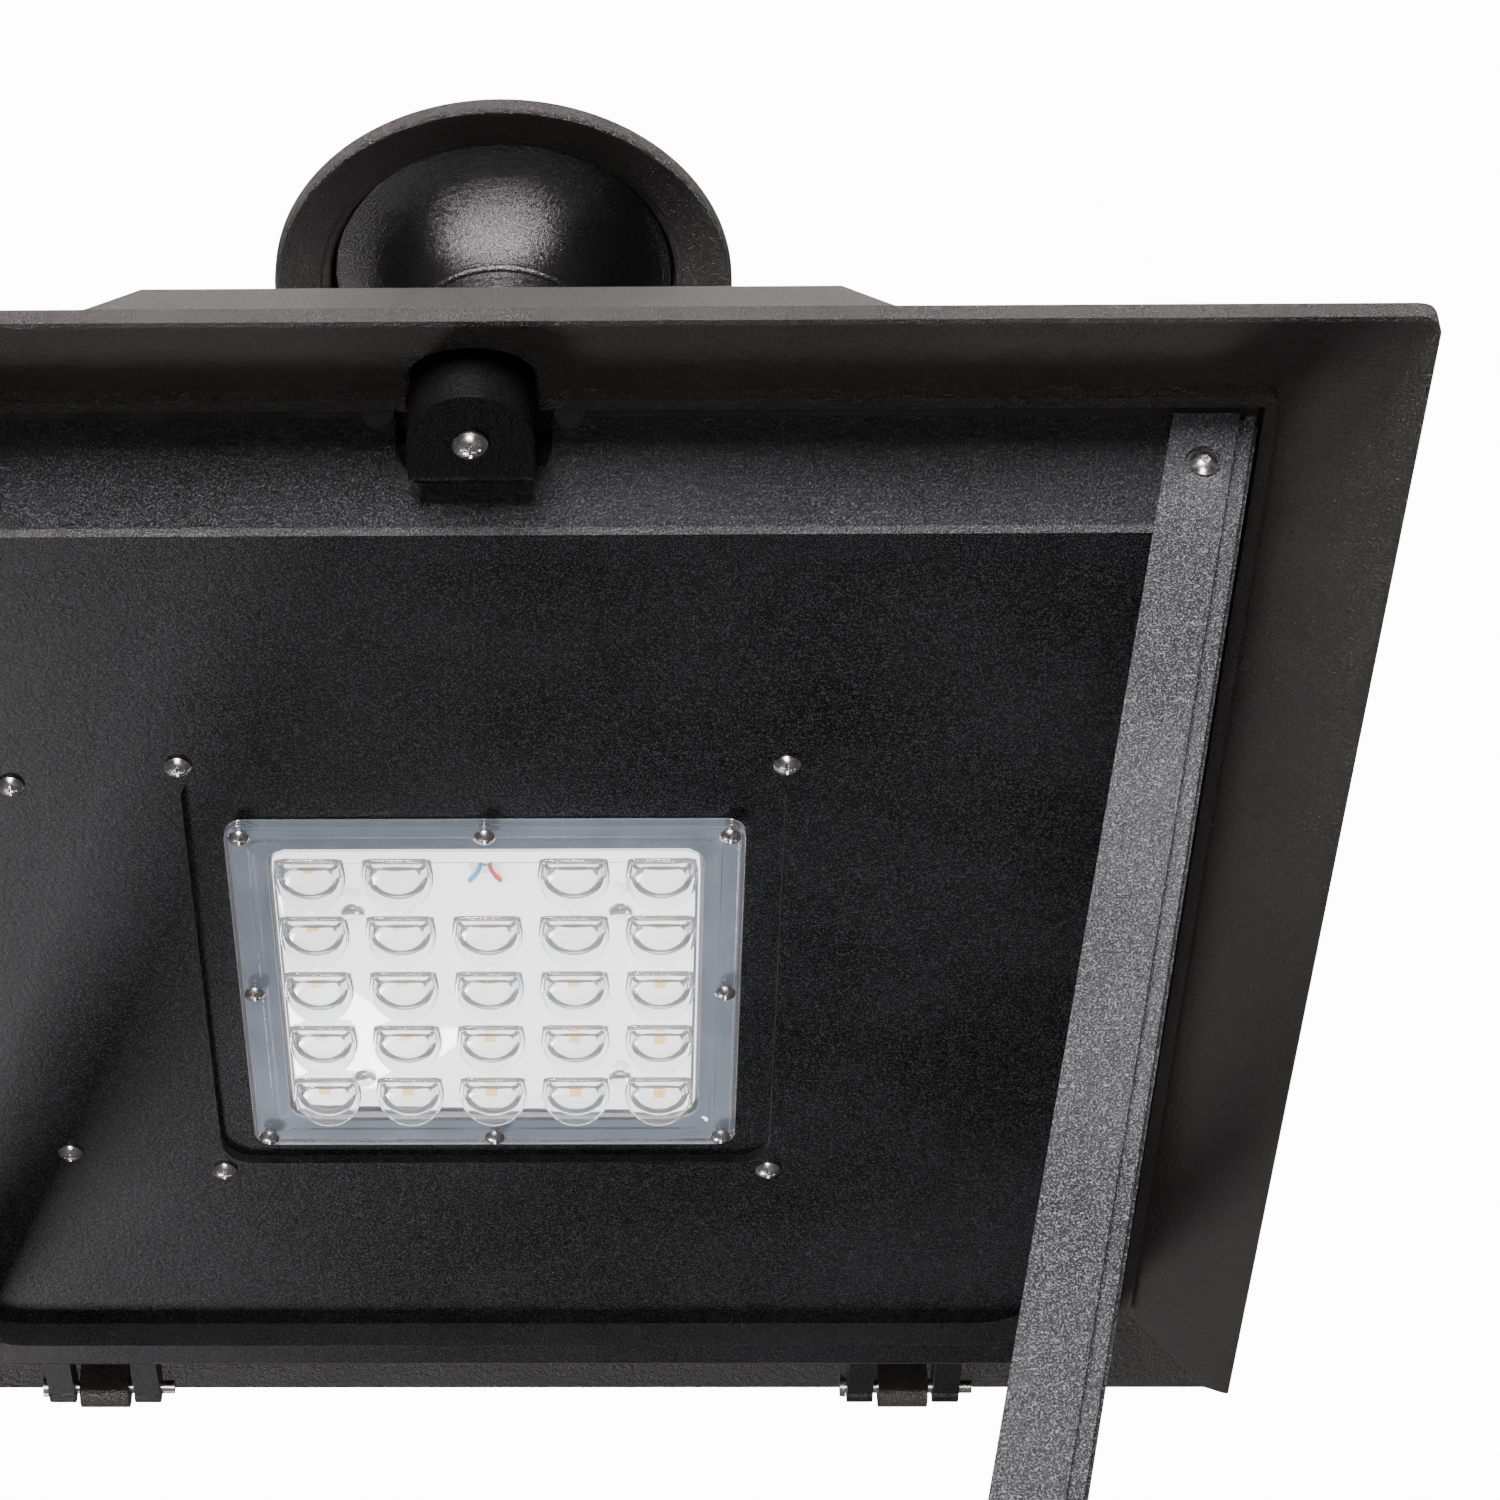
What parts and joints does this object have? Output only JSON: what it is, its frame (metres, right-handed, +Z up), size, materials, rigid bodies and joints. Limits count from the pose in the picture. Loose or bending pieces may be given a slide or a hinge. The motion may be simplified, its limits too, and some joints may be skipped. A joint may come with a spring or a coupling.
{
  "type": "solar post-top lantern",
  "caption": "Square solar lantern for a post top: hinged roof with solar panels, cap on a neck, down-facing LED tray, leaning corner legs and a post fitter.",
  "frame": {"origin": "centre of the fitter's mouth, on the lantern's axis, at its lowest point", "axes": "+Z up, -Y towards the latch side, +Y towards the hinge side, +X to the right seen from the latch side"},
  "size_m": [0.43, 0.423, 0.743],
  "materials": {
    "cast_black": "black textured powder coat on cast aluminium",
    "stainless": "plain stainless fastener",
    "black_rubber": "matt",
    "clear_lens": "clear moulded polycarbonate",
    "grey_seal": "bluish grey silicone",
    "white_board": "white solder mask",
    "phosphor": "yellow phosphor",
    "raw_aluminium": "bare aluminium",
    "battery_sleeve": "shrink sleeve",
    "dark_plastic": "moulded, fine texture",
    "cable_sheath": "smooth sheath",
    "solar_panel": "dark cells under glass",
    "brass_insert": "plain"
  },
  "bodies": {
    "frame": {"post_fitter": "cast_black", "fitter_set_screws": "stainless", "base_frame": "cast_black", "base_screws": "stainless", "leg_front_right": "cast_black", "leg_front_left": "cast_black", "leg_rear_right": "cast_black", "leg_rear_left": "cast_black", "leg_top_screws": "stainless", "leg_foot_screws": "stainless", "tray": "cast_black", "hinge_pins": "stainless", "closing_pads": "black_rubber", "roof_gasket": "black_rubber", "led_lens": "clear_lens", "lens_gasket": "grey_seal", "lens_screws": "stainless", "led_board": "white_board", "led_chips": "phosphor", "board_screws": "stainless", "led_heat_sink": "raw_aluminium", "heat_sink_screws": "stainless", "battery_pack": "battery_sleeve", "battery_bracket": "raw_aluminium", "bracket_screws": "stainless", "charge_controller": "dark_plastic", "controller_screws": "stainless", "led_cable": "cable_sheath", "battery_cable": "cable_sheath", "tray_panel_cable": "cable_sheath"},
    "roof": {"roof_shell": "cast_black", "panel_front": "solar_panel", "panel_rear": "solar_panel", "panel_left": "solar_panel", "panel_right": "solar_panel", "panel_seals": "black_rubber", "panel_leads": "cable_sheath", "junction_box": "dark_plastic", "junction_screws": "stainless", "roof_panel_cable": "cable_sheath", "roof_neck": "cast_black", "neck_screws": "stainless", "roof_cap": "cast_black", "cap_screw": "stainless", "latch_insert": "brass_insert"},
    "latch": {"latch_screw": "stainless", "latch_retainer": "stainless"}
  },
  "joints": [
    {"name": "roof_hinge", "type": "hinge", "parent": "frame", "child": "roof", "pos_m": [0, 0.187, 0.444], "axis": [-1, 0, 0], "range_deg": [0, 100]},
    {"name": "latch_release", "type": "slide", "parent": "frame", "child": "latch", "axis": [0, 0, -1], "range_m": [0, 0.006]}
  ]
}
